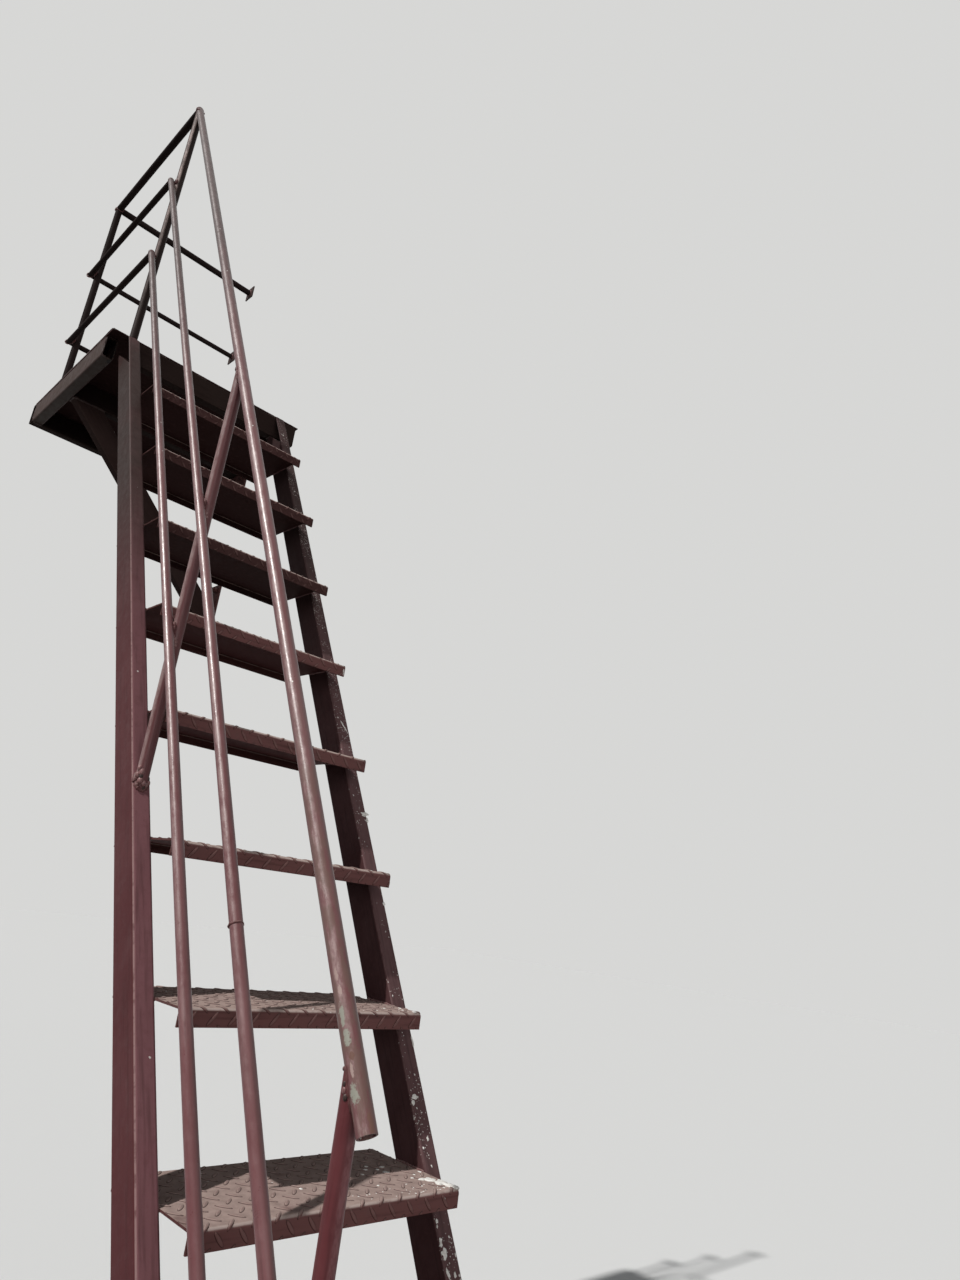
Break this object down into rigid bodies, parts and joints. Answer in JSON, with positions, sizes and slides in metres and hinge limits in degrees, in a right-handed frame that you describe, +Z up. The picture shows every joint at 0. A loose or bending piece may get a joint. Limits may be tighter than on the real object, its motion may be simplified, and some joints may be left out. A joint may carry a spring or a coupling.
{
  "type": "fire escape stair",
  "caption": "Steep external steel stair with bent checker-plate treads between box-tube stringers, a braced wall landing and a welded pipe railing.",
  "frame": {"origin": "middle of the wall plate's back face, on the wall, under the landing", "axes": "+X into the wall, +Y along the wall in the direction of climb, +Z up"},
  "size_m": [0.732, 2.8677, 4.363],
  "materials": {
    "frame_paint": "weathered reddish-brown brushed paint, dusty, with white splashes",
    "tread_paint": "worn and dusty reddish-brown paint on raised checker plate",
    "plate_paint": "brushed reddish-brown paint with rust at the edges",
    "rail_paint": "satin reddish-brown paint, faded on top, chipped to a pale primer"
  },
  "bodies": {
    "root": {"stringer_outer": "frame_paint", "stringer_wall": "frame_paint", "landing_front_beam": "frame_paint", "landing_far_beam": "frame_paint", "landing_outer_beam": "frame_paint", "landing_wall_beam": "frame_paint", "landing_cross_beam": "frame_paint", "knee_brace": "frame_paint", "tread_01": "tread_paint", "tread_02": "tread_paint", "tread_03": "tread_paint", "tread_04": "tread_paint", "tread_05": "tread_paint", "tread_06": "tread_paint", "tread_07": "tread_paint", "tread_08": "tread_paint", "tread_09": "tread_paint", "tread_10": "tread_paint", "tread_11": "tread_paint", "landing_floor": "tread_paint", "wall_plate": "plate_paint", "brace_plate": "plate_paint", "foot_plate_outer": "plate_paint", "foot_plate_wall": "plate_paint", "rail_wall_pads": "plate_paint", "post_bottom": "rail_paint", "post_middle": "rail_paint", "post_landing_near": "rail_paint", "post_landing_far": "rail_paint", "handrail_flight": "rail_paint", "handrail_side": "rail_paint", "handrail_end": "rail_paint", "midrail_flight": "rail_paint", "midrail_side": "rail_paint", "midrail_end": "rail_paint", "lowrail_flight": "rail_paint", "lowrail_side": "rail_paint", "lowrail_end": "rail_paint"}
  },
  "joints": []
}
